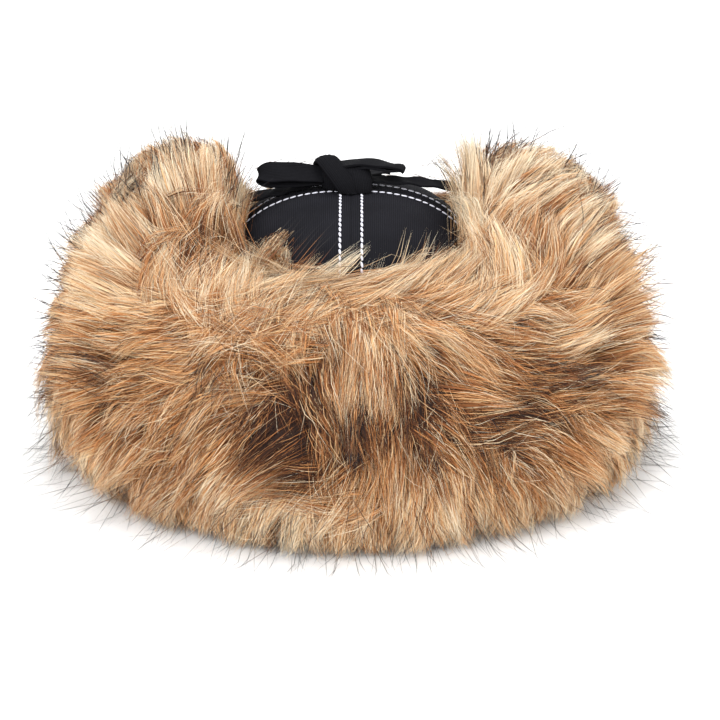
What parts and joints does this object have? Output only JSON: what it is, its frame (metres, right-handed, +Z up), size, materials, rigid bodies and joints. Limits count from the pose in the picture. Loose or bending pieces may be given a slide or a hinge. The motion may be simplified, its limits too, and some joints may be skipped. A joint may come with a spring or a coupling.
{
  "type": "earflap cap",
  "caption": "Black twill cap with deep faux-fur front, ear and neck flaps, folded up and tied over the crown with a ribbon bow.",
  "frame": {"origin": "the middle of the footprint, on the surface that the cap stands on", "axes": "-Y towards the front flap, +X to the right for someone who looks at the front flap, +Z up through the crown"},
  "size_m": [0.349, 0.339, 0.185],
  "materials": {
    "twill": "black cotton twill with white topstitching, matt",
    "ribbon": "black ribbed ribbon, slightly glossy",
    "fur": "deep tan faux fur with brown depths and near-black guard-hair tips"
  },
  "bodies": {
    "root": {"crown_front_left": "twill", "crown_front_right": "twill", "crown_back_left": "twill", "crown_back_right": "twill", "front_flap_cloth": "twill", "front_flap_fur": "fur", "ear_flap_right_cloth": "twill", "ear_flap_right_fur": "fur", "neck_flap_cloth": "twill", "neck_flap_fur": "fur", "ear_flap_left_cloth": "twill", "ear_flap_left_fur": "fur", "bow_knot": "ribbon", "bow_loop_left": "ribbon", "bow_loop_right": "ribbon", "tie_left": "ribbon", "tie_right": "ribbon", "bow_end_left": "ribbon", "bow_end_right": "ribbon"}
  },
  "joints": []
}
